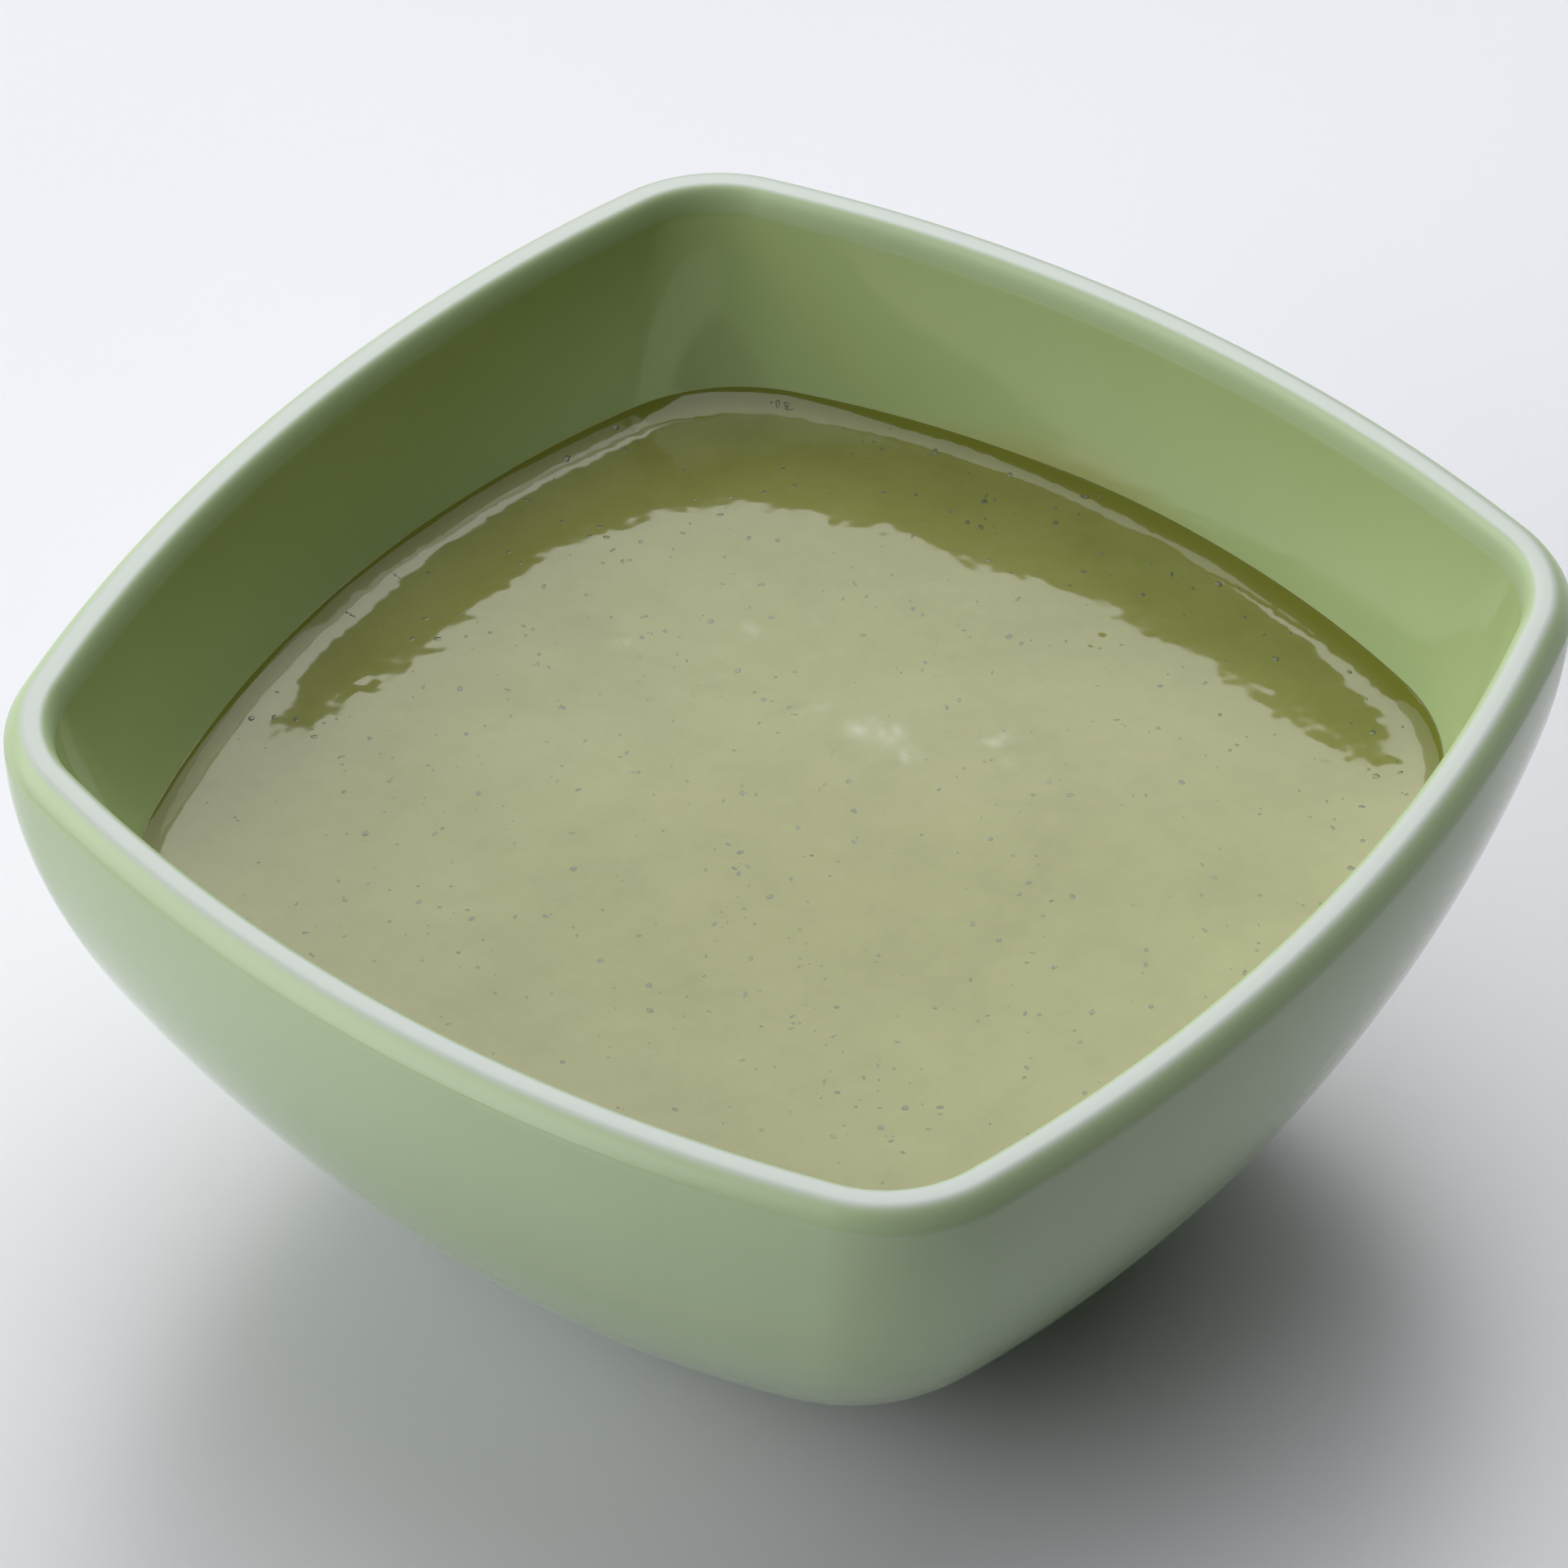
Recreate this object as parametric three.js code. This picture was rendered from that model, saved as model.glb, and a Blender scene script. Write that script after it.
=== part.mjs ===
// A small square glazed bowl with bowed sides, filled with aji verde, a green sauce.
// Millimetres, +Z up. The origin is the middle of the foot, on the table.
// X and Y run across the bowl's flats, so its corners lie on the diagonals.

import * as THREE from 'three';

// ---- the bowl, seen from above ----
const RIM_HALF = 63;              // mean half width across the flats, at the lip's edge
const STRETCH = 0.009;            // the square is this share narrower in X and wider in Y
const RIM_SIDE_RADIUS = 166;      // each side is an arc that bows outward
const RIM_CORNER_RADIUS = 16;
const FOOT_SIDE_RADIUS = 36;      // the plan grows rounder towards the foot
const FOOT_CORNER_RADIUS = 16.8;

// ---- the bowl, cut through a flat ----
const HEIGHT = 63;                // table to the top of the rim
const LIP_DEPTH = 2.5;            // rim top to where the upright wall starts
const LIP_THICKNESS = 4.85;
const BEVEL_END = [0.2, 1.75];    // inset and depth of the lower end of the lip's sloping face
const BEVEL_TURN = 2.08;          // depth of the corner that is rounded between it and the wall
const BEVEL_SHOULDER = 1.25;      // inset of the one that is rounded between it and the crest
const CREST_INSET = [2.3, 3.3];   // the nearly level crest lies between these insets
const CREST_CROWN = 0.02;         // and is this much higher along its middle
const INNER_SHOULDER = [4.5, 0.1];
const LIP_INNER_DROP = 2.9;       // rim top to where the inner wall starts
const WALL_DROP = 29.8;           // the wall heads straight down this far before it turns in
const WALL_BULGE = 0.1;           // and stands out this much on the way
const WALL_SWEEP = 7.7;           // at its lower end it runs inward this far
const WALL_SWEEP_RISE = 1.3;      // while it rises this much
const FOOT_HALF = 31;             // where the wall meets the foot ring
const FOOT_HEIGHT = 2.8;
const FOOT_STEP = 0.7;            // the ring stands this far inside the wall's end
const FOOT_EDGE = 0.7;            // chamfer of the ring's edges
const FOOT_RING_WIDTH = 5;
const FOOT_RECESS = 1.4;          // hollow of the underside
const FLOOR_LEVEL = 6.5;          // inside bottom
const FLOOR_HALF = 20;            // flat part of the inside bottom

// ---- the inside, which rounds off in its corners towards the sauce ----
const INNER_SIDE_RADIUS = 113;    // at the sauce line
const INNER_CORNER_RADIUS = 19;   // at the sauce line
const INNER_SIDE_MIN = 45;
const INNER_CORNER_SHARE = 0.85;  // largest corner radius, as a share of the half width
const INNER_LEAN = [5.4, 21];     // the wall heads for this inset and depth on its way down
const INNER_SWEEP = 27;           // and runs inward over the floor from this far out
const INNER_SWEEP_RISE = 1.5;

// ---- the sauce ----
const SAUCE_LINE_DEPTH = 20.1;    // rim top to the sauce's edge on the wall
const SAUCE_GAP = 0.3;            // clearance between the two solids
const MENISCUS_RISE = 1.3;        // the edge curls up the wall by this much
const MENISCUS_REACH = 1.8;       // distance in which that fades to about a third
const DISH_RISE = 1.1;            // and the whole surface is dished by this much
const DISH_REACH = 11;
const SWELL_MARGIN = 16;          // the swells fade out this close to the wall
const SWELLS = [                  // slow waves: height, radians per mm in X and in Y, shift
  { height: 0.08, x: 0.11, y: 0.083, shift: 0.2 },
  { height: 0.08, x: 0.11, y: -0.083, shift: 1 },
  { height: 0.1, x: 0.059, y: -0.125, shift: 1.9 },
];

// ---- colours, as 0xRRGGBB ----
const GLAZE_GREEN = 0xa9bb92;
const SAUCE_GREEN = 0xa6a96f;

// ---- fineness ----
const SIDE_STEPS = 10;            // facets along one bowed side
const CORNER_STEPS = 6;           // facets round one corner
const WALL_STEPS = 15;
const INNER_STEPS = 15;
const LIP_STEPS = 4;              // along each of the lip's four curves
const SURFACE_STEPS = 14;         // rings of the sauce's surface
const SURFACE_CROWDING = 1.8;     // above 1, the rings lie closer together near the wall
const HALVINGS = 40;              // of the search for a level on the inner wall

const RIGHT_ANGLE = Math.PI / 2;

const point = (half, level) => new THREE.Vector2(half, level);
const lerp = THREE.MathUtils.lerp;
const clamp = THREE.MathUtils.clamp;

/** Outline of a square with bowed sides: four wide side arcs joined by four corner arcs. */
function bowedSquare(half, sideRadius, cornerRadius) {
  const sideCentre = half - sideRadius;
  const reach = 2 * (sideRadius - cornerRadius) ** 2 - sideCentre ** 2;
  const cornerCentre = (sideCentre + Math.sqrt(reach)) / 2;
  const turn = Math.atan2(cornerCentre, cornerCentre - sideCentre);
  const outline = [];
  for (let quarter = 0; quarter < 4; quarter++) {
    const place = (x, y) => outline.push(
      point(x, y).rotateAround(point(0, 0), quarter * RIGHT_ANGLE),
    );
    for (let i = 0; i < SIDE_STEPS; i++) {
      const angle = lerp(-turn, turn, i / SIDE_STEPS);
      place(sideCentre + sideRadius * Math.cos(angle), sideRadius * Math.sin(angle));
    }
    for (let i = 0; i < CORNER_STEPS; i++) {
      const angle = lerp(turn, RIGHT_ANGLE - turn, i / CORNER_STEPS);
      place(
        cornerCentre + cornerRadius * Math.cos(angle),
        cornerCentre + cornerRadius * Math.sin(angle),
      );
    }
  }
  return outline;
}

/** One closed ring of 3D points: a bowed square at one level, stretched like the real bowl. */
function ring(half, level, sideRadius, cornerRadius) {
  return bowedSquare(half, sideRadius, cornerRadius).map(
    (p) => new THREE.Vector3(p.x * (1 - STRETCH), p.y * (1 + STRETCH), level),
  );
}

/** A ring of the outer wall, whose plan rounds off from the lip to the foot. */
function outerRing({ x: half, y: level }) {
  const share = clamp((half - FOOT_HALF) / (RIM_HALF - FOOT_HALF), 0, 1);
  const side = lerp(FOOT_SIDE_RADIUS, RIM_SIDE_RADIUS, share);
  const corner = lerp(FOOT_CORNER_RADIUS, RIM_CORNER_RADIUS, share);
  return ring(half, level, side, corner);
}

/** A ring that follows the lip's edge at an inset. */
function lipRing({ x: half, y: level }) {
  const inset = RIM_HALF - half;
  return ring(half, level, RIM_SIDE_RADIUS - inset, RIM_CORNER_RADIUS - inset);
}

/** A ring that follows the foot's edge at an inset. */
function footRing({ x: half, y: level }) {
  const inset = FOOT_HALF - half;
  return ring(half, level, FOOT_SIDE_RADIUS - inset, FOOT_CORNER_RADIUS - inset);
}

/** A ring of the inner wall, or of the sauce when it is inset by the gap. */
function innerRing({ x: half, y: level }, inset = 0) {
  const below = (HEIGHT - LIP_INNER_DROP - level) / (SAUCE_LINE_DEPTH - LIP_INNER_DROP);
  const side = lerp(RIM_SIDE_RADIUS - LIP_THICKNESS, INNER_SIDE_RADIUS, below);
  const corner = lerp(RIM_CORNER_RADIUS - LIP_THICKNESS, INNER_CORNER_RADIUS, Math.min(below, 1));
  const tightest = INNER_CORNER_SHARE * half;
  return ring(
    half - inset, level,
    Math.max(side, INNER_SIDE_MIN) - inset, Math.min(corner, tightest) - inset,
  );
}

/** A closed solid from rings of equal size, listed from its lower pole to its upper pole. */
function loft(bottom, rings, top) {
  const count = rings[0].length;
  const corners = [bottom, ...rings.flat(), top];
  const last = corners.length - 1;
  const at = (row, i) => 1 + row * count + (i % count);
  const faces = [];
  for (let i = 0; i < count; i++) {
    faces.push(0, at(0, i + 1), at(0, i));
    for (let row = 0; row + 1 < rings.length; row++) {
      faces.push(at(row, i), at(row, i + 1), at(row + 1, i + 1));
      faces.push(at(row, i), at(row + 1, i + 1), at(row + 1, i));
    }
    faces.push(last, at(rings.length - 1, i), at(rings.length - 1, i + 1));
  }
  const geometry = new THREE.BufferGeometry().setFromPoints(corners);
  geometry.setIndex(faces);
  geometry.computeVertexNormals();
  return geometry;
}

// ---- the bowl's section, as curves of half width and level ----
const wallTop = point(RIM_HALF, HEIGHT - LIP_DEPTH);
const wallEnd = point(FOOT_HALF, FOOT_HEIGHT);
const bevelEnd = point(RIM_HALF - BEVEL_END[0], HEIGHT - BEVEL_END[1]);
const crestOuter = point(RIM_HALF - CREST_INSET[0], HEIGHT - CREST_CROWN);
const crestInner = point(RIM_HALF - CREST_INSET[1], HEIGHT - CREST_CROWN);
const crestPeak = point((crestOuter.x + crestInner.x) / 2, HEIGHT + CREST_CROWN);
const innerTop = point(RIM_HALF - LIP_THICKNESS, HEIGHT - LIP_INNER_DROP);
const floorEdge = point(FLOOR_HALF, FLOOR_LEVEL);

// from the foot up: nearly level at first, then upright just below the lip
const wallCurve = new THREE.CubicBezierCurve(
  wallEnd, point(FOOT_HALF + WALL_SWEEP, FOOT_HEIGHT + WALL_SWEEP_RISE),
  point(RIM_HALF + WALL_BULGE, HEIGHT - LIP_DEPTH - WALL_DROP), wallTop,
);
// the lip slopes in from the wall's top, then come its crest and a rounded inner edge
const lipCurves = [
  new THREE.QuadraticBezierCurve(wallTop, point(RIM_HALF, HEIGHT - BEVEL_TURN), bevelEnd),
  new THREE.QuadraticBezierCurve(
    bevelEnd, point(RIM_HALF - BEVEL_SHOULDER, HEIGHT - CREST_CROWN), crestOuter,
  ),
  new THREE.QuadraticBezierCurve(crestOuter, crestPeak, crestInner),
  new THREE.QuadraticBezierCurve(
    crestInner, point(RIM_HALF - INNER_SHOULDER[0], HEIGHT - INNER_SHOULDER[1]), innerTop,
  ),
];
// the inner wall leans in slowly, then sweeps over into the floor
const innerCurve = new THREE.CubicBezierCurve(
  innerTop, point(RIM_HALF - INNER_LEAN[0], HEIGHT - INNER_LEAN[1]),
  point(FLOOR_HALF + INNER_SWEEP, FLOOR_LEVEL + INNER_SWEEP_RISE), floorEdge,
);

/** The inner wall's point at one level, and its share of the way along the inner curve. */
function innerWallAt(level) {
  let low = 0;
  let high = 1;
  for (let i = 0; i < HALVINGS; i++) {
    const middle = (low + high) / 2;
    if (innerCurve.getPoint(middle).y > level) low = middle;
    else high = middle;
  }
  return { share: low, place: innerCurve.getPoint(low) };
}

function bowl() {
  const ringHalf = FOOT_HALF - FOOT_STEP;
  const recessHalf = ringHalf - FOOT_RING_WIDTH;
  const foot = [
    point(recessHalf - FOOT_EDGE, FOOT_RECESS),
    point(recessHalf, FOOT_RECESS - FOOT_EDGE),
    point(recessHalf + FOOT_EDGE, 0),
    point(ringHalf - FOOT_EDGE, 0),
    point(ringHalf, FOOT_EDGE),
    point(ringHalf, FOOT_HEIGHT - FOOT_EDGE),
  ];
  const rings = [
    ...foot.map(footRing),
    ...wallCurve.getPoints(WALL_STEPS).map(outerRing),
    ...lipCurves.flatMap((curve) => curve.getPoints(LIP_STEPS).slice(1)).slice(0, -1).map(lipRing),
    ...innerCurve.getPoints(INNER_STEPS).map((p) => innerRing(p)),
    innerRing(point(FLOOR_HALF / 2, FLOOR_LEVEL)),
  ];
  const underside = new THREE.Vector3(0, 0, FOOT_RECESS);
  const inside = new THREE.Vector3(0, 0, FLOOR_LEVEL);
  const glaze = new THREE.MeshStandardMaterial({ color: GLAZE_GREEN, roughness: 0.12 });
  const mesh = new THREE.Mesh(loft(underside, rings, inside), glaze);
  mesh.name = 'bowl';
  return mesh;
}

/** Height of the sauce's surface: slightly dished, curling up the wall at its edge. */
function sauceHeight(x, y, fromWall) {
  const edgeLevel = HEIGHT - SAUCE_LINE_DEPTH;
  const meniscus = MENISCUS_RISE * (Math.exp(-fromWall / MENISCUS_REACH) - 1);
  const dish = DISH_RISE * (Math.exp(-fromWall / DISH_REACH) - 1);
  const fade = THREE.MathUtils.smoothstep(fromWall, 0, SWELL_MARGIN);
  let swell = 0;
  for (const wave of SWELLS) {
    swell += wave.height * Math.sin(x * wave.x + y * wave.y + wave.shift);
  }
  return edgeLevel + meniscus + dish + swell * fade;
}

function ajiVerde() {
  const line = innerWallAt(HEIGHT - SAUCE_LINE_DEPTH);
  const sides = [];
  for (let i = 0; i < INNER_STEPS; i++) {
    const share = lerp(1, line.share, i / INNER_STEPS);
    const place = innerCurve.getPoint(share);
    sides.push(innerRing(place.setY(place.y + SAUCE_GAP * share), SAUCE_GAP));
  }
  const edge = innerRing(line.place, SAUCE_GAP);
  const surface = [];
  for (let i = 0; i < SURFACE_STEPS; i++) {
    const inward = (i / SURFACE_STEPS) ** SURFACE_CROWDING;
    surface.push(edge.map((p) => {
      const x = p.x * (1 - inward);
      const y = p.y * (1 - inward);
      return new THREE.Vector3(x, y, sauceHeight(x, y, inward * line.place.x));
    }));
  }
  const bottom = new THREE.Vector3(0, 0, FLOOR_LEVEL + SAUCE_GAP);
  const middle = new THREE.Vector3(0, 0, sauceHeight(0, 0, line.place.x));
  const sauce = new THREE.MeshStandardMaterial({ color: SAUCE_GREEN, roughness: 0.25 });
  const mesh = new THREE.Mesh(loft(bottom, [...sides, ...surface], middle), sauce);
  mesh.name = 'aji_verde';
  return mesh;
}

const filledBowl = new THREE.Group();
filledBowl.add(bowl(), ajiVerde());

export default filledBowl;
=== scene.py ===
import math
import random

import bpy
import numpy as np
from mathutils import Matrix, Vector


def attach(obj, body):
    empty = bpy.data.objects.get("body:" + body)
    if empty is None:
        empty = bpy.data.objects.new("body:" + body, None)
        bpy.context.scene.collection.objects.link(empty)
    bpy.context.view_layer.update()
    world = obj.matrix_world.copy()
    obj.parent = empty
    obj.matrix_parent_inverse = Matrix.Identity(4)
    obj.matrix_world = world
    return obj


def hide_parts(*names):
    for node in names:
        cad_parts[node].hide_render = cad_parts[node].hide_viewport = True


# A small square glazed bowl of aji verde. Lengths are in millimetres unless a comment says
# otherwise, and enter Blender in metres. The bowl's corners lie on the diagonals of X and Y.

MM = 0.001
SEED = 17

# ---- the bowl, as in its solid ----
RIM_HALF = 63              # half widths are measured across the flats
STRETCH = 0.009            # the bowl is longer in Y and shorter in X by this share
RIM_SIDE_RADIUS = 166      # bow of a side, seen from above
RIM_CORNER_RADIUS = 16
FOOT_SIDE_RADIUS = 36
FOOT_CORNER_RADIUS = 16.8

HEIGHT = 63
LIP_DEPTH = 2.5
LIP_THICKNESS = 4.85
BEVEL_END = (0.2, 1.75)    # inset from the rim's outline, and depth below the rim's top
BEVEL_TURN = 2.08          # depth
BEVEL_SHOULDER = 1.25      # inset
CREST_INSET = (2.3, 3.3)   # of its outer and inner edge
CREST_CROWN = 0.02
INNER_SHOULDER = (4.5, 0.1)  # inset and depth
LIP_INNER_DROP = 2.9
WALL_DROP = 29.8
WALL_BULGE = 0.1
WALL_SWEEP = 7.7
WALL_SWEEP_RISE = 1.3
FOOT_HALF = 31
FOOT_HEIGHT = 2.8
FOOT_STEP = 0.7
FOOT_EDGE = 0.7
FOOT_RING_WIDTH = 5
FOOT_RECESS = 1.4
FLOOR_LEVEL = 6.5
FLOOR_HALF = 20

INNER_SIDE_RADIUS = 113
INNER_CORNER_RADIUS = 19
INNER_SIDE_MIN = 45
INNER_CORNER_SHARE = 0.85
INNER_LEAN = (5.4, 21)     # inset and depth
INNER_SWEEP = 27
INNER_SWEEP_RISE = 1.5

# ---- the sauce, as in its solid ----
SAUCE_LINE_DEPTH = 20.1
SAUCE_LINE = HEIGHT - SAUCE_LINE_DEPTH
MENISCUS_RISE = 1.3
MENISCUS_REACH = 1.8
DISH_RISE = 1.1
DISH_REACH = 11
SWELL_MARGIN = 16
SWELLS = (                 # slow waves: height, radians per mm in X and in Y, shift
    (0.08, 0.11, 0.083, 0.2),
    (0.08, 0.11, -0.083, 1),
    (0.1, 0.059, -0.125, 1.9),
)

# ---- the photograph ----
PHOTO_SIDE = 1932          # pixels
CAMERA_DISTANCE = 668.3    # from the middle of the rim's plane
CAMERA_ELEVATION = 42.95   # degrees
CAMERA_AZIMUTH = 36.7      # degrees from -Y towards +X
CAMERA_OFFSET = (-1.1, -12.7)  # sideways and upwards
SENSOR = 36
LENS = 163.9
CLIP_START = 0.01          # metres


# ---- camera ----
def view_axes():
    """The camera's right, up and backward directions."""
    azimuth = math.radians(CAMERA_AZIMUTH)
    elevation = math.radians(CAMERA_ELEVATION)
    right = Vector((math.cos(azimuth), math.sin(azimuth), 0))
    level_back = Vector((math.sin(azimuth), -math.cos(azimuth), 0))
    back = level_back * math.cos(elevation) + Vector((0, 0, math.sin(elevation)))
    return right, back.cross(right), back


def camera_place():
    right, up, back = view_axes()
    aim = Vector((0, 0, HEIGHT))
    return aim + back * CAMERA_DISTANCE + right * CAMERA_OFFSET[0] + up * CAMERA_OFFSET[1]


def make_camera():
    data = bpy.data.cameras.new("photo_camera")
    data.sensor_width = SENSOR
    data.lens = LENS
    data.clip_start = CLIP_START
    camera = bpy.data.objects.new("photo_camera", data)
    bpy.context.collection.objects.link(camera)
    right, up, back = view_axes()
    turned = Matrix((right, up, back)).transposed().to_4x4()
    camera.matrix_world = Matrix.Translation(camera_place() * MM) @ turned
    bpy.context.scene.camera = camera


def seen_at(pixel, level):
    """Where the line of sight through a pixel of the photograph meets a level, in X and Y."""
    right, up, back = view_axes()
    scale = SENSOR / LENS / PHOTO_SIDE
    across = (pixel[0] - PHOTO_SIDE / 2) * scale
    down = (pixel[1] - PHOTO_SIDE / 2) * scale
    ray = right * across - up * down - back
    start = camera_place()
    spot = start + ray * ((level - start.z) / ray.z)
    return spot.x, spot.y


# ---- sections and plans ----
def lerp(a, b, share):
    return a + (b - a) * share


def smooth(low, high, value):
    """0 at low, 1 at high, level at both ends; low may be the larger one."""
    t = np.clip((value - low) / (high - low), 0, 1)
    return t * t * (3 - 2 * t)


def bezier(points, steps):
    """Points along a Bezier curve with three or four control points, ends included."""
    t = np.linspace(0, 1, steps + 1)[:, None]
    rows = [np.array(p, float) + 0 * t for p in points]
    while len(rows) > 1:
        rows = [a * (1 - t) + b * t for a, b in zip(rows, rows[1:])]
    return rows[0]


def bowed_square(half, side_radius, corner_radius, side_steps, corner_steps):
    """Plan of a square with bowed sides, anticlockwise from the lower end of its +X side."""
    side_centre = half - side_radius
    reach = 2 * (side_radius - corner_radius) ** 2 - side_centre ** 2
    corner_centre = (side_centre + math.sqrt(reach)) / 2
    turn = math.atan2(corner_centre, corner_centre - side_centre)
    side = np.linspace(-turn, turn, side_steps, endpoint=False)
    corner = np.linspace(turn, math.pi / 2 - turn, corner_steps, endpoint=False)
    x = np.concatenate([
        side_centre + side_radius * np.cos(side),
        corner_centre + corner_radius * np.cos(corner),
    ])
    y = np.concatenate([
        side_radius * np.sin(side),
        corner_centre + corner_radius * np.sin(corner),
    ])
    plan = []
    for _ in range(4):
        plan.append(np.column_stack([x * (1 - STRETCH), y * (1 + STRETCH)]))
        x, y = -y, x
    return np.concatenate(plan)


def outer_plan(half):
    """Half width, side radius and corner radius of the outer wall."""
    share = min(max((half - FOOT_HALF) / (RIM_HALF - FOOT_HALF), 0), 1)
    side = lerp(FOOT_SIDE_RADIUS, RIM_SIDE_RADIUS, share)
    corner = lerp(FOOT_CORNER_RADIUS, RIM_CORNER_RADIUS, share)
    return half, side, corner


def lip_plan(half):
    inset = RIM_HALF - half
    return half, RIM_SIDE_RADIUS - inset, RIM_CORNER_RADIUS - inset


def foot_plan(half):
    inset = FOOT_HALF - half
    return half, FOOT_SIDE_RADIUS - inset, FOOT_CORNER_RADIUS - inset


def inner_plan(half, level, outset=0):
    """Plan of the inner wall at a level, grown outwards by outset."""
    below = (HEIGHT - LIP_INNER_DROP - level) / (SAUCE_LINE_DEPTH - LIP_INNER_DROP)
    side = lerp(RIM_SIDE_RADIUS - LIP_THICKNESS, INNER_SIDE_RADIUS, below)
    side = max(side, INNER_SIDE_MIN)
    corner = lerp(RIM_CORNER_RADIUS - LIP_THICKNESS, INNER_CORNER_RADIUS, min(below, 1))
    corner = min(corner, INNER_CORNER_SHARE * half)
    return half + outset, side + outset, corner + outset


# the inner wall's section, from the lip down: half widths and levels of its control points
INNER_TOP = (RIM_HALF - LIP_THICKNESS, HEIGHT - LIP_INNER_DROP)
INNER_CURVE = (
    INNER_TOP, (RIM_HALF - INNER_LEAN[0], HEIGHT - INNER_LEAN[1]),
    (FLOOR_HALF + INNER_SWEEP, FLOOR_LEVEL + INNER_SWEEP_RISE), (FLOOR_HALF, FLOOR_LEVEL),
)
INNER_CURVE_STEPS = 400    # where a width is looked up on it


# ---- meshes ----
NOISE_CELLS = 32           # the noise repeats after so many cells
NOISE_SHIFT = 1000         # cells from its own origin to that of X, Y and Z


def new_object(name, vertices, faces):
    """A smooth-shaded mesh object, from vertices in millimetres."""
    mesh = bpy.data.meshes.new(name)
    mesh.from_pydata(np.asarray(vertices) * MM, [], [tuple(f) for f in faces])
    mesh.validate()
    mesh.shade_smooth()
    piece = bpy.data.objects.new(name, mesh)
    bpy.context.collection.objects.link(piece)
    return piece


def store_value(piece, name, values):
    """A value on each of the mesh's points, for the materials to read."""
    attribute = piece.data.attributes.new(name, "FLOAT", "POINT")
    attribute.data.foreach_set("value", np.asarray(values, np.float32))


def ring_faces(rows, count):
    """Quads between rings of equal size, numbered ring by ring."""
    i = np.arange(count)
    following = (i + 1) % count
    faces = []
    for row in range(rows - 1):
        low = row * count
        faces.append(np.column_stack([
            low + i, low + following, low + count + following, low + count + i,
        ]))
    return np.concatenate(faces).tolist()


def value_noise(x, y, z, size, seed):
    """Smooth seeded noise from -1 to 1, whose features are about size apart."""
    rng = np.random.default_rng(seed)
    table = rng.uniform(-1, 1, (NOISE_CELLS, NOISE_CELLS, NOISE_CELLS))
    place = [np.asarray(c, float) / size + NOISE_SHIFT for c in (x, y, z)]
    base = [np.floor(c).astype(int) for c in place]
    part = [c - b for c, b in zip(place, base)]
    part = [p * p * p * (p * (6 * p - 15) + 10) for p in part]
    total = 0
    for corner in range(8):
        step = [(corner >> axis) & 1 for axis in range(3)]
        weight = 1
        for s, p in zip(step, part):
            weight = weight * (p if s else 1 - p)
        index = [(b + s) % NOISE_CELLS for b, s in zip(base, step)]
        total = total + weight * table[index[0], index[1], index[2]]
    return total


# ---- the bowl ----
BOWL_SIDE_STEPS = 40
BOWL_CORNER_STEPS = 24
WALL_STEPS = 64
BEVEL_STEPS = 8
SHOULDER_STEPS = 16
CREST_STEPS = 4
INNER_SHOULDER_STEPS = 20
INSIDE_ROWS = 100          # rings of the inner wall and the inside bottom
FLOOR_RINGS = (15, 10, 5, 2)  # half widths of those on the flat bottom
GLAZE_WAVE = 0.09          # hand-finished walls are uneven by this much
GLAZE_WAVE_LENGTH = 19
GLAZE_WAVE_FADE = (12, 8)  # heights over which that starts above the foot and ends at the rim

# a painted highlight whitens the glaze on the crest of the rim: insets over which that starts
# and ends
CREST_HIGHLIGHT_OUTER = (1.2, 2.0)
CREST_HIGHLIGHT_INNER = (3.35, 3.95)
CREST_HIGHLIGHT_DEPTH = 0.6           # and how far down it reaches
# it is dull there too: depths and insets over which that starts
DULL_DEPTH = (3, 1.9)
DULL_INSET = (-1.2, 1.9)
# the sauce has left a thin film on the wall towards +Y
FILM_HEIGHT = 2.3
FILM_MIDDLE = -6           # in X
FILM_REACH = 15            # in X
FILM_START = (20, 35)      # in Y
FILM_LEAST = 0.01          # height where there is next to no film


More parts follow.
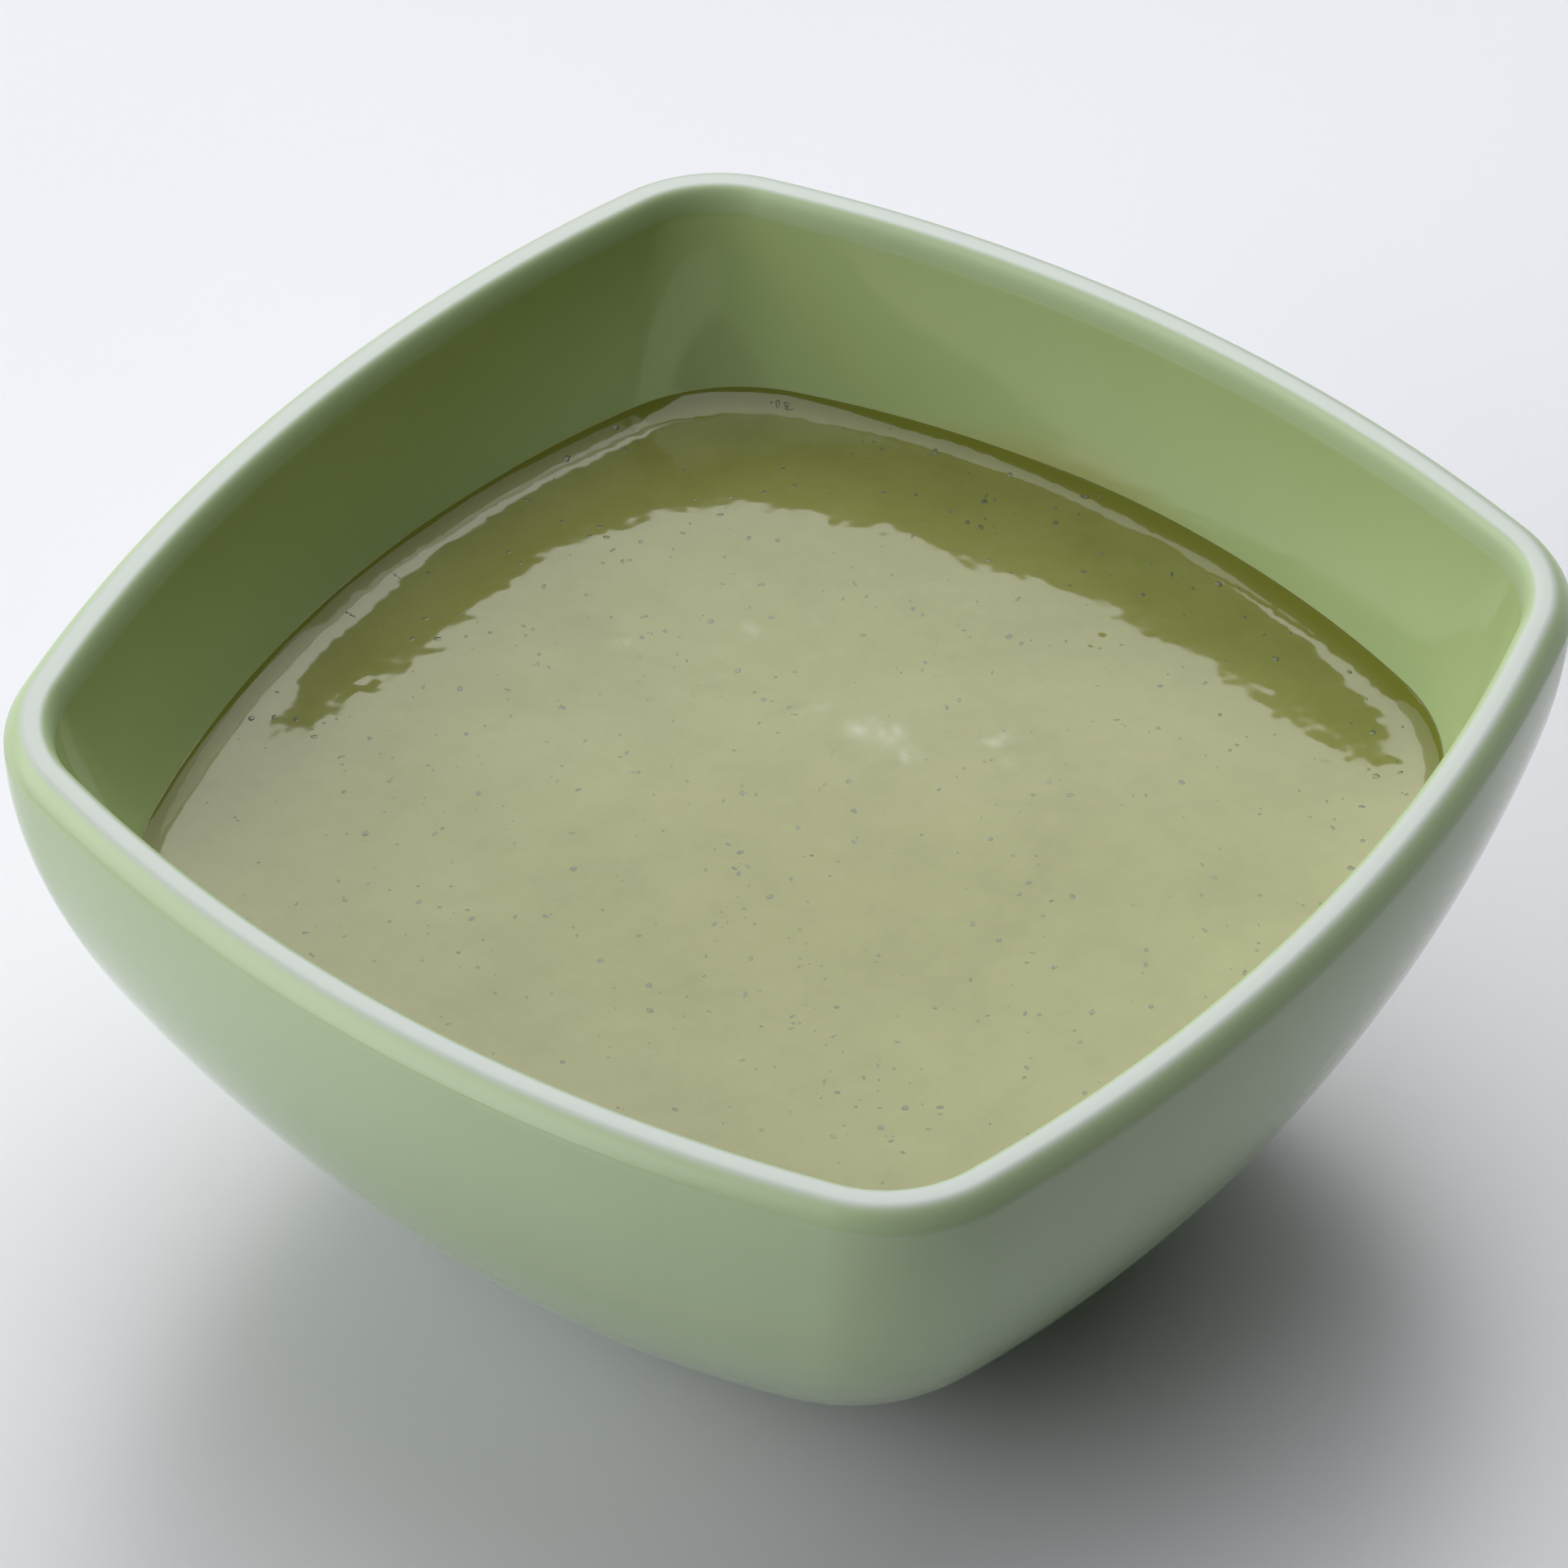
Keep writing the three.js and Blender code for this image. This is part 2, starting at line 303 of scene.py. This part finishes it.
def bowl_rows():
    """The rings of the bowl from its underside over the rim to its inside: plan and level."""
    ring_half = FOOT_HALF - FOOT_STEP
    recess_half = ring_half - FOOT_RING_WIDTH
    foot = [
        (FLOOR_RINGS[-1], FOOT_RECESS), (recess_half - 3 * FOOT_EDGE, FOOT_RECESS),
        (recess_half - FOOT_EDGE, FOOT_RECESS), (recess_half, FOOT_RECESS - FOOT_EDGE),
        (recess_half + FOOT_EDGE, 0), (recess_half + 2 * FOOT_EDGE, 0),
        (ring_half - 2 * FOOT_EDGE, 0), (ring_half - FOOT_EDGE, 0),
        (ring_half - 0.3 * FOOT_EDGE, 0.3 * FOOT_EDGE),
        (ring_half, FOOT_EDGE), (ring_half, FOOT_HEIGHT - FOOT_EDGE),
    ]
    wall_top = (RIM_HALF, HEIGHT - LIP_DEPTH)
    bevel_end = (RIM_HALF - BEVEL_END[0], HEIGHT - BEVEL_END[1])
    crest_outer = (RIM_HALF - CREST_INSET[0], HEIGHT - CREST_CROWN)
    crest_inner = (RIM_HALF - CREST_INSET[1], HEIGHT - CREST_CROWN)
    crest_peak = (RIM_HALF - sum(CREST_INSET) / 2, HEIGHT + CREST_CROWN)
    wall = bezier([
        (FOOT_HALF, FOOT_HEIGHT), (FOOT_HALF + WALL_SWEEP, FOOT_HEIGHT + WALL_SWEEP_RISE),
        (RIM_HALF + WALL_BULGE, HEIGHT - LIP_DEPTH - WALL_DROP), wall_top,
    ], WALL_STEPS)
    bevel = bezier([wall_top, (RIM_HALF, HEIGHT - BEVEL_TURN), bevel_end], BEVEL_STEPS)
    shoulder = bezier([
        bevel_end, (RIM_HALF - BEVEL_SHOULDER, HEIGHT - CREST_CROWN), crest_outer,
    ], SHOULDER_STEPS)
    crest = bezier([crest_outer, crest_peak, crest_inner], CREST_STEPS)
    inner_shoulder = bezier([
        crest_inner, (RIM_HALF - INNER_SHOULDER[0], HEIGHT - INNER_SHOULDER[1]), INNER_TOP,
    ], INNER_SHOULDER_STEPS)
    lip = np.concatenate([bevel[1:], shoulder[1:], crest[1:], inner_shoulder[1:-1]])
    inside = bezier(INNER_CURVE, INSIDE_ROWS - len(FLOOR_RINGS) - 1)
    rows = [(foot_plan(half), level) for half, level in foot]
    rows += [(outer_plan(half), level) for half, level in wall]
    rows += [(lip_plan(half), level) for half, level in lip]
    rows += [(inner_plan(half, level), level) for half, level in inside]
    rows += [(inner_plan(half, FLOOR_LEVEL), FLOOR_LEVEL) for half in FLOOR_RINGS]
    return rows


def film_share(x, y, z):
    """How much sauce film covers the inner wall: a patch that thins out upwards."""
    patch = np.exp(-((x - FILM_MIDDLE) / FILM_REACH) ** 2) * smooth(*FILM_START, y)
    height = np.maximum(FILM_HEIGHT * patch, FILM_LEAST)
    return patch * np.exp(-(np.maximum(z - SAUCE_LINE, 0) / height) ** 2)


def make_bowl():
    rows = bowl_rows()
    rings = []
    for plan, level in rows:
        outline = bowed_square(*plan, BOWL_SIDE_STEPS, BOWL_CORNER_STEPS)
        rings.append(np.column_stack([outline, np.full(len(outline), level)]))
    count = len(rings[0])
    vertices = np.concatenate(rings)
    faces = ring_faces(len(rings), count)
    faces.append(list(range(count))[::-1])
    faces.append(list(range((len(rings) - 1) * count, len(rings) * count)))
    x, y, z = vertices.T
    wave = GLAZE_WAVE * value_noise(x, y, z, GLAZE_WAVE_LENGTH, SEED)
    wave = wave * smooth(FOOT_HEIGHT, FOOT_HEIGHT + GLAZE_WAVE_FADE[0], z)
    wave = wave * smooth(HEIGHT, HEIGHT - GLAZE_WAVE_FADE[1], z)
    outward = vertices[:, :2] / np.maximum(np.linalg.norm(vertices[:, :2], axis=1), 1)[:, None]
    vertices[:, :2] += outward * wave[:, None]
    piece = new_object("glazed_bowl", vertices, faces)
    inset = RIM_HALF - np.repeat([plan[0] for plan, _ in rows], count)
    # painted highlight: the crest's colour is whitened all along the rim
    pale = smooth(*CREST_HIGHLIGHT_OUTER, inset) * (1 - smooth(*CREST_HIGHLIGHT_INNER, inset))
    inside = np.arange(len(vertices)) >= (len(rings) - INSIDE_ROWS) * count
    store_value(piece, "crest_painted_highlight", np.where(z > HEIGHT - CREST_HIGHLIGHT_DEPTH, pale, 0))
    dull = smooth(*DULL_DEPTH, HEIGHT - z) * smooth(*DULL_INSET, inset)
    store_value(piece, "dull_glaze", dull)
    store_value(piece, "inner_glaze", inside)
    store_value(piece, "film", np.where(inside, film_share(x, y, z), 0))
    return piece


# ---- the sauce ----
SAUCE_OVERLAP = 0.06       # the sauce wets the wall, so it reaches this far into it
SURFACE_CELLS = 272        # across the surface
SURFACE_CROWDING = 1.2     # above 1, the cells are smaller near the wall
SIDE_STEPS = 24            # of the inner wall's section
SIDE_START = 1             # the first ring under the edge lies about this deep or deeper
RELIEF = (                 # uneven surface of a blended sauce: height and spacing
    (0.05, 9), (0.013, 3.2), (0.0085, 1.3), (0.0045, 0.75),
)
RELIEF_MARGIN = 1.6        # the relief fades out this close to the wall
# pits in the surface, where the photograph shows them: pixel, radius, depth
CRATERS = (
    ((765, 786), 0.8, 0.10), ((605, 903), 0.6, 0.06), ((980, 875), 1.0, 0.10),
    ((1152, 719), 0.8, 0.05), ((1174, 724), 0.5, 0.05), ((1196, 741), 1.1, 0.06),
    ((1210, 750), 0.5, 0.06), ((1345, 793), 0.7, 0.06), ((1360, 779), 0.8, 0.04),
    ((1335, 775), 0.6, 0.04), ((838, 806), 0.4, 0.05), ((1146, 821), 0.4, 0.06),
    ((1105, 946), 0.5, 0.05), ((1216, 924), 0.5, 0.05),
)
RIPPLES = (                # rough patches of the surface: pixel, radius, height
    ((1075, 905), 3.0, 0.05), ((1110, 935), 2.4, 0.05), ((1235, 918), 2.6, 0.05),
    ((925, 775), 2.0, 0.02), ((850, 805), 2.6, 0.02), ((1005, 762), 2.0, 0.02),
    ((1010, 873), 1.6, 0.03), ((1345, 885), 1.6, 0.02), ((445, 850), 3.0, 0.04),
)
RIPPLE_SPACING = 1.1
RIPPLE_LIFT = 0.4          # a patch also rises as a whole, by this share of its height
RIPPLE_SEED = SEED + 9
WHITE_PATCHES = (                  # whitened patches of the sauce's colour: pixel, radius, strength
    ((1060, 897), 1.6, 1.4), ((1092, 905), 1.8, 1.5), ((1118, 935), 1.3, 1.6),
    ((1228, 912), 1.2, 1.5), ((1246, 938), 0.9, 1.2), ((1010, 873), 1.0, 0.9),
    ((925, 775), 1.2, 0.6), ((768, 790), 0.7, 0.8), ((1005, 762), 1.0, 0.4),
)
STREAK_SLIMNESS = 0.4       # the patches lie in streaks: width over length
STREAK_CONTRAST = 1.5
STREAK_SEED = SEED + 12
PATCH_FALL = 1.5           # how fast ripples and bubbles end at their radius
NEAR_WALL_BAND = (0.6, 2.6)     # the sauce is darker and deeper in colour this close to the wall


def sauce_line_half():
    curve = bezier(INNER_CURVE, INNER_CURVE_STEPS)
    return float(np.interp(-SAUCE_LINE, -curve[:, 1], curve[:, 0]))


def squared_share(x, y, pixel, radius):
    """Squared distance from the point of the surface seen at a pixel, in squared radii."""
    level = SAUCE_LINE - MENISCUS_RISE - DISH_RISE
    centre = seen_at(pixel, level)
    return ((x - centre[0]) ** 2 + (y - centre[1]) ** 2) / radius ** 2


def surface_height(x, y, from_wall):
    """Level in the middle with slow swells and a fine relief, curling up the wall."""
    height = SAUCE_LINE + MENISCUS_RISE * (np.exp(-from_wall / MENISCUS_REACH) - 1)
    height = height + DISH_RISE * (np.exp(-from_wall / DISH_REACH) - 1)
    fade = smooth(0, SWELL_MARGIN, from_wall)
    for swell, in_x, in_y, shift in SWELLS:
        height = height + fade * swell * np.sin(x * in_x + y * in_y + shift)
    fade = smooth(0, RELIEF_MARGIN, from_wall)
    for step, (size, spacing) in enumerate(RELIEF):
        height = height + fade * size * value_noise(x, y, 0 * x, spacing, SEED + step)
    for pixel, radius, depth in CRATERS:
        height = height - depth * np.maximum(1 - squared_share(x, y, pixel, radius), 0) ** 2
    ripples = RIPPLE_LIFT + value_noise(x, y, 0 * x, RIPPLE_SPACING, RIPPLE_SEED)
    for pixel, radius, size in RIPPLES:
        patch = np.exp(-PATCH_FALL * squared_share(x, y, pixel, radius))
        height = height + size * patch * ripples
    return height


def whitened_share(x, y):
    """How much the sauce's colour is whitened in streaky patches."""
    total = 0 * x
    for pixel, radius, strength in WHITE_PATCHES:
        total = total + strength * np.exp(-PATCH_FALL * squared_share(x, y, pixel, radius))
    streaks = value_noise(x + y, STREAK_SLIMNESS * (x - y), 0 * x, RIPPLE_SPACING, STREAK_SEED)
    return np.clip(total * (0.5 + 0.5 * streaks) ** STREAK_CONTRAST, 0, 1)


def surface_grid():
    """X, Y and distance from the wall of a square grid fitted into the sauce's outline."""
    half = sauce_line_half()
    plan = inner_plan(half, SAUCE_LINE, SAUCE_OVERLAP)
    corner_steps = SURFACE_CELLS // 5 // 2 * 2  # a fifth of a side's, as an even number
    outline = bowed_square(*plan, SURFACE_CELLS - corner_steps, corner_steps)
    outline = np.roll(outline, corner_steps // 2, axis=0)
    axis = np.linspace(-1, 1, SURFACE_CELLS + 1)
    u, v = np.meshgrid(axis, axis, indexing="ij")
    reach = np.maximum(np.abs(u), np.abs(v))
    safe = np.maximum(reach, 1e-9)
    turns = np.select(
        [u >= reach, v >= reach, -u >= reach], [v / safe, 2 - u / safe, 4 - v / safe],
        6 + u / safe,
    )
    place = (turns + 1) / 8 * len(outline)
    base = np.floor(place).astype(int)
    part = (place - base)[..., None]
    spot = outline[base % len(outline)] * (1 - part) + outline[(base + 1) % len(outline)] * part
    share = 1 - (1 - reach) ** SURFACE_CROWDING
    spot = spot * share[..., None]
    return spot[..., 0], spot[..., 1], (1 - share) * half


def border_loop(count):
    """Indices of the border of a square grid of count points a side, anticlockwise."""
    low, high = 0, count - 1
    loop = [(high, j) for j in range(low, high)]
    loop += [(i, high) for i in range(high, low, -1)]
    loop += [(low, j) for j in range(high, low, -1)]
    loop += [(i, low) for i in range(low, high)]
    return [i * count + j for i, j in loop]


def make_sauce():
    x, y, from_wall = surface_grid()
    z = surface_height(x, y, from_wall)
    count = SURFACE_CELLS + 1
    vertices = np.column_stack([x.ravel(), y.ravel(), z.ravel()])
    i, j = np.meshgrid(np.arange(count - 1), np.arange(count - 1), indexing="ij")
    start = (i * count + j).ravel()
    faces = np.column_stack([start, start + count, start + count + 1, start + 1]).tolist()
    previous = border_loop(count)
    edge = vertices[previous][:, :2]
    line_half = sauce_line_half()
    for half, level in bezier(INNER_CURVE, SIDE_STEPS):
        if level >= SAUCE_LINE - SIDE_START:
            continue
        current = list(range(len(vertices), len(vertices) + len(edge)))
        ring = edge * (half / line_half)
        levels = np.full(len(edge), level + SAUCE_OVERLAP)
        vertices = np.concatenate([vertices, np.column_stack([ring, levels])])
        for k in range(len(edge)):
            after = (k + 1) % len(edge)
            faces.append([previous[after], previous[k], current[k], current[after]])
        previous = current
    faces.append(previous[::-1])
    piece = new_object("sauce", vertices, faces)
    # the sauce's colour is darkened within a few millimetres of the wall
    thin = np.ones(len(vertices))
    thin[:count * count] = 1 - smooth(*NEAR_WALL_BAND, from_wall.ravel())
    store_value(piece, "near_wall_darkening", thin)
    # the sauce's colour is whitened in patches
    store_value(piece, "whitened_patches", whitened_share(vertices[:, 0], vertices[:, 1]))
    return piece


# ---- herb specks ----
SPECK_COUNT = 760
SPECK_SIZES = (0.12, 0.44)  # half lengths of the smallest and the largest outline
SPECK_SLIMNESS = (0.35, 0.95)
SPECK_CORNERS = 9
SPECK_TURN = 0.25          # a corner is off its place round the flake by up to this, in steps
SPECK_REACH = (0.75, 1.15)  # and off its distance from the middle by these factors
SPECK_PROUD = 0.009        # their tops lie this far above the sauce
SPECK_THICKNESS = 0.09
SPECK_EDGE = 0.985         # they lie within this share of the way to the wall
# the rings of a flake, from the top: share of its outline, and height above the sauce
SPECK_RINGS = (
    (0.45, SPECK_PROUD), (0.8, 0.7 * SPECK_PROUD), (1.25, -1.7 * SPECK_PROUD),
    (0.9, -SPECK_THICKNESS),
)
SPECK_PLAN_STEPS = (20, 10)  # of a side and a corner, where the wall is looked up


def speck_outline(rng):
    """An irregular flake, seen from above, about its middle."""
    size = lerp(*SPECK_SIZES, rng.random() ** 2)
    slimness = rng.uniform(*SPECK_SLIMNESS)
    turn = rng.uniform(0, math.pi)
    outline = []
    for i in range(SPECK_CORNERS):
        angle = 2 * math.pi * (i + rng.uniform(-SPECK_TURN, SPECK_TURN)) / SPECK_CORNERS
        reach = size * rng.uniform(*SPECK_REACH)
        along, across = reach * math.cos(angle), reach * slimness * math.sin(angle)
        outline.append((
            along * math.cos(turn) - across * math.sin(turn),
            along * math.sin(turn) + across * math.cos(turn),
        ))
    return outline


def speck_spots(rng):
    """Places strewn evenly at random over the sauce, clear of the wall."""
    half = sauce_line_half()
    plan = bowed_square(*inner_plan(half, SAUCE_LINE), *SPECK_PLAN_STEPS)
    angles = np.arctan2(plan[:, 1], plan[:, 0])
    order = np.argsort(angles)
    spots = []
    while len(spots) < SPECK_COUNT:
        x, y = rng.uniform(-half, half), rng.uniform(-half, half)
        edge = np.interp(
            math.atan2(y, x), angles[order], np.hypot(*plan[order].T), period=2 * math.pi,
        )
        share = math.hypot(x, y) / edge
        if share < SPECK_EDGE:
            spots.append((x, y, (1 - share) * half))
    return spots


def make_specks():
    rng = random.Random(SEED)
    places, faces = [], []
    for x, y, from_wall in speck_spots(rng):
        outline = speck_outline(rng)
        first = len(places)
        outward = Vector((x, y)).normalized()
        for spread, lift in SPECK_RINGS:
            for along, across in outline:
                step = Vector((along, across)) * spread
                places.append((x + step.x, y + step.y, from_wall - step.dot(outward), lift))
        rings = [
            list(range(start, start + SPECK_CORNERS))
            for start in range(first, len(places), SPECK_CORNERS)
        ]
        faces.append(rings[0])
        faces.append(rings[-1][::-1])
        for upper, lower in zip(rings, rings[1:]):
            for i in range(SPECK_CORNERS):
                after = (i + 1) % SPECK_CORNERS
                faces.append([upper[i], lower[i], lower[after], upper[after]])
    x, y, from_wall, lift = np.array(places).T
    z = surface_height(x, y, np.maximum(from_wall, 0)) + lift
    return new_object("herb_specks", np.column_stack([x, y, z]), faces)


# ---- materials ----
# Colours are linear. Where a name has two or three, the surface is softly mottled with them:
# they follow each other over a span of the values of a noise.
MOTTLE_SPAN = (0.3, 0.7)
# The outer walls are paler and bluer than the inner ones: painted reflection of the white table
# over the glaze's own green.
OUTER_GLAZE_AND_TABLE_SHEEN = ((0.427, 0.544, 0.311), (0.448, 0.566, 0.328))
INNER_GLAZE = ((0.406, 0.513, 0.24), (0.426, 0.533, 0.256))
GLAZE_MOTTLE = 60          # features per metre, as in every mottle here
FILM_COLOUR = (0.42, 0.4, 0.15)
FILM_STRENGTH = 0.7
# painted highlight on the rim's crest, mixed over the glaze
CREST_HIGHLIGHT_COLOUR = (0.50, 0.54, 0.52)
CREST_HIGHLIGHT_STRENGTH = 0.9
GLAZE_ROUGHNESS = (0.1, 0.45)  # on the walls and on the crest
GLAZE_IOR = 1.6
GLAZE_BUMP = (350, 0.00001)  # features per metre, and height in metres

SAUCE_COLOURS = ((0.209, 0.216, 0.057), (0.236, 0.243, 0.07), (0.256, 0.262, 0.083))
SAUCE_SPAN = (0.33, 0.67)
SAUCE_MOTTLE = (75, 8, 0.72)  # features per metre, detail and roughness of the noise
EDGE_COLOUR = (0.15, 0.165, 0.018)
EDGE_STRENGTH = 0.8
# whitening of the sauce's colour in patches
WHITENING_COLOUR = (0.42, 0.43, 0.3)
WHITENING_STRENGTH = 0.8
SAUCE_ROUGHNESS = 0.06
SAUCE_IOR = 1.42

SPECK_COLOURS = ((0.11, 0.124, 0.064), (0.195, 0.207, 0.1))
SPECK_MOTTLE = 900
SPECK_ROUGHNESS = 0.07

TABLE_COLOURS = ((0.66, 0.665, 0.715), (0.675, 0.68, 0.73))
TABLE_MOTTLE = 8
TABLE_ROUGHNESS = 0.32


def new_material(name):
    material = bpy.data.materials.new(name)
    material.use_nodes = True
    return material, material.node_tree, material.node_tree.nodes["Principled BSDF"]


def noise_node(tree, scale, detail=3.0, roughness=0.5):
    """Noise in the object's own coordinates; scale is features per metre."""
    coordinates = tree.nodes.new("ShaderNodeTexCoord")
    node = tree.nodes.new("ShaderNodeTexNoise")
    node.inputs["Scale"].default_value = scale
    node.inputs["Detail"].default_value = detail
    node.inputs["Roughness"].default_value = roughness
    tree.links.new(coordinates.outputs["Object"], node.inputs["Vector"])
    return node.outputs["Fac"]


def value_node(tree, name):
    """A value stored on the mesh's points."""
    node = tree.nodes.new("ShaderNodeAttribute")
    node.attribute_name = name
    return node.outputs["Fac"]


def ramp_node(tree, factor, colours, span=MOTTLE_SPAN):
    """Colours spread evenly over a span of the factor."""
    node = tree.nodes.new("ShaderNodeValToRGB")
    ramp = node.color_ramp
    while len(ramp.elements) < len(colours):
        ramp.elements.new(0.5)
    places = np.linspace(*span, len(colours))
    for element, place, colour in zip(ramp.elements, places, colours):
        element.position = place
        element.color = (*colour, 1)
    tree.links.new(factor, node.inputs["Fac"])
    return node.outputs["Color"]


def mix_node(tree, factor, first, second):
    """The first colour turning into the second; each is a socket or a plain colour."""
    node = tree.nodes.new("ShaderNodeMix")
    node.data_type = "RGBA"
    tree.links.new(factor, node.inputs["Factor"])
    for socket, value in (("A", first), ("B", second)):
        target = [s for s in node.inputs if s.name == socket and s.type == "RGBA"][0]
        if isinstance(value, tuple):
            target.default_value = (*value, 1)
        else:
            tree.links.new(value, target)
    return [s for s in node.outputs if s.type == "RGBA"][0]


def bump_node(tree, height, distance):
    node = tree.nodes.new("ShaderNodeBump")
    node.inputs["Distance"].default_value = distance
    node.inputs["Strength"].default_value = 1
    tree.links.new(height, node.inputs["Height"])
    return node.outputs["Normal"]


def scaled(tree, value, share):
    node = tree.nodes.new("ShaderNodeMath")
    node.operation = "MULTIPLY"
    node.inputs[1].default_value = share
    tree.links.new(value, node.inputs[0])
    return node.outputs[0]


def glaze_material():
    material, tree, shader = new_material("green_glaze")
    # outside, the colour carries a painted reflection of the white table
    outer = ramp_node(tree, noise_node(tree, GLAZE_MOTTLE), OUTER_GLAZE_AND_TABLE_SHEEN)
    inner = ramp_node(tree, noise_node(tree, GLAZE_MOTTLE), INNER_GLAZE)
    tint = mix_node(tree, value_node(tree, "inner_glaze"), outer, inner)
    film = scaled(tree, value_node(tree, "film"), FILM_STRENGTH)
    tint = mix_node(tree, film, tint, FILM_COLOUR)
    # the crest is whitened by a painted highlight
    pale = scaled(tree, value_node(tree, "crest_painted_highlight"), CREST_HIGHLIGHT_STRENGTH)
    tint = mix_node(tree, pale, tint, CREST_HIGHLIGHT_COLOUR)
    tree.links.new(tint, shader.inputs["Base Color"])
    greys = [(roughness,) * 3 for roughness in GLAZE_ROUGHNESS]
    dullness = ramp_node(tree, value_node(tree, "dull_glaze"), greys, (0, 1))
    tree.links.new(dullness, shader.inputs["Roughness"])
    shader.inputs["IOR"].default_value = GLAZE_IOR
    scale, height = GLAZE_BUMP
    normal = bump_node(tree, noise_node(tree, scale, detail=2), height)
    tree.links.new(normal, shader.inputs["Normal"])
    return material


def sauce_material():
    material, tree, shader = new_material("green_sauce")
    tint = ramp_node(tree, noise_node(tree, *SAUCE_MOTTLE), SAUCE_COLOURS, SAUCE_SPAN)
    # darker and deeper in colour near the wall
    edge = scaled(tree, value_node(tree, "near_wall_darkening"), EDGE_STRENGTH)
    tint = mix_node(tree, edge, tint, EDGE_COLOUR)
    # whitened patches on the sauce's colour
    whitened_patches = scaled(tree, value_node(tree, "whitened_patches"), WHITENING_STRENGTH)
    tint = mix_node(tree, whitened_patches, tint, WHITENING_COLOUR)
    tree.links.new(tint, shader.inputs["Base Color"])
    shader.inputs["Roughness"].default_value = SAUCE_ROUGHNESS
    shader.inputs["IOR"].default_value = SAUCE_IOR
    return material


def speck_material():
    material, tree, shader = new_material("chopped_herb")
    tint = ramp_node(tree, noise_node(tree, SPECK_MOTTLE, detail=2), SPECK_COLOURS)
    tree.links.new(tint, shader.inputs["Base Color"])
    shader.inputs["Roughness"].default_value = SPECK_ROUGHNESS
    shader.inputs["IOR"].default_value = SAUCE_IOR
    return material


def table_material():
    material, tree, shader = new_material("pale_table")
    tint = ramp_node(tree, noise_node(tree, TABLE_MOTTLE), TABLE_COLOURS)
    tree.links.new(tint, shader.inputs["Base Color"])
    shader.inputs["Roughness"].default_value = TABLE_ROUGHNESS
    return material


# ---- surroundings ----
TABLE_SIDE = 6.0           # metres
# Softboxes round the bowl. Azimuth in degrees from straight behind it, as the camera sees it,
# to the right; elevation in degrees; distance, width and height in metres; brightness.
SOFTBOXES = {
    "behind": (0, 46, 1.3, 0.8, 0.62, 2.9),
    "behind_wide": (8, 41, 1.5, 2.3, 1.1, 1.5),
    "overhead": (0, 80, 1.3, 0.8, 0.8, 2.4),
    "upper_right": (50, 54, 1.3, 0.6, 0.5, 1.0),
    "left": (-100, 28, 1.3, 1.7, 0.95, 2.95),
}
AMBIENT = 0.02             # brightness of the room all round


def make_table():
    bpy.ops.mesh.primitive_plane_add(size=TABLE_SIDE)
    table = bpy.context.object
    table.name = "table"
    table.data.materials.append(table_material())


def make_softbox(name, azimuth, elevation, distance, width, height, brightness):
    right, _, back = view_axes()
    forward = Vector((-back.x, -back.y, 0)).normalized()
    turn = math.radians(azimuth)
    rise = math.radians(elevation)
    level = forward * math.cos(turn) + right * math.sin(turn)
    away = level * math.cos(rise) + Vector((0, 0, math.sin(rise)))
    light = bpy.data.lights.new("softbox_" + name, "AREA")
    light.shape = "RECTANGLE"
    light.size = width
    light.size_y = height
    light.energy = brightness * math.pi * width * height
    lamp = bpy.data.objects.new("softbox_" + name, light)
    bpy.context.collection.objects.link(lamp)
    lamp.location = away * distance + Vector((0, 0, HEIGHT * MM / 2))
    lamp.rotation_euler = away.to_track_quat("Z", "Y").to_euler()


def make_ambient():
    world = bpy.data.worlds.new("dim_room")
    world.use_nodes = True
    world.node_tree.nodes["Background"].inputs["Color"].default_value = (1, 1, 1, 1)
    world.node_tree.nodes["Background"].inputs["Strength"].default_value = AMBIENT
    bpy.context.scene.world = world


# ---- everything in its place ----
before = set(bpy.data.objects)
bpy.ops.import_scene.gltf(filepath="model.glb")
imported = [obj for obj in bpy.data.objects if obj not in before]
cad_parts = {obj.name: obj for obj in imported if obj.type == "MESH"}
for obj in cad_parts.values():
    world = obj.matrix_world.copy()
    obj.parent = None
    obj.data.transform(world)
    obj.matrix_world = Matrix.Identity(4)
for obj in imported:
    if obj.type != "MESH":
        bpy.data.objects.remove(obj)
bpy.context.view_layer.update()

make_camera()
bowl = make_bowl()
bowl.data.materials.append(glaze_material())
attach(bowl, "root")
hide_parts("bowl")

sauce = make_sauce()
sauce.data.materials.append(sauce_material())
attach(sauce, "root")
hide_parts("aji_verde")

specks = make_specks()
specks.data.materials.append(speck_material())
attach(specks, "root")

make_table()
for name, values in SOFTBOXES.items():
    make_softbox(name, *values)
make_ambient()
bpy.context.scene.view_settings.view_transform = "Standard"
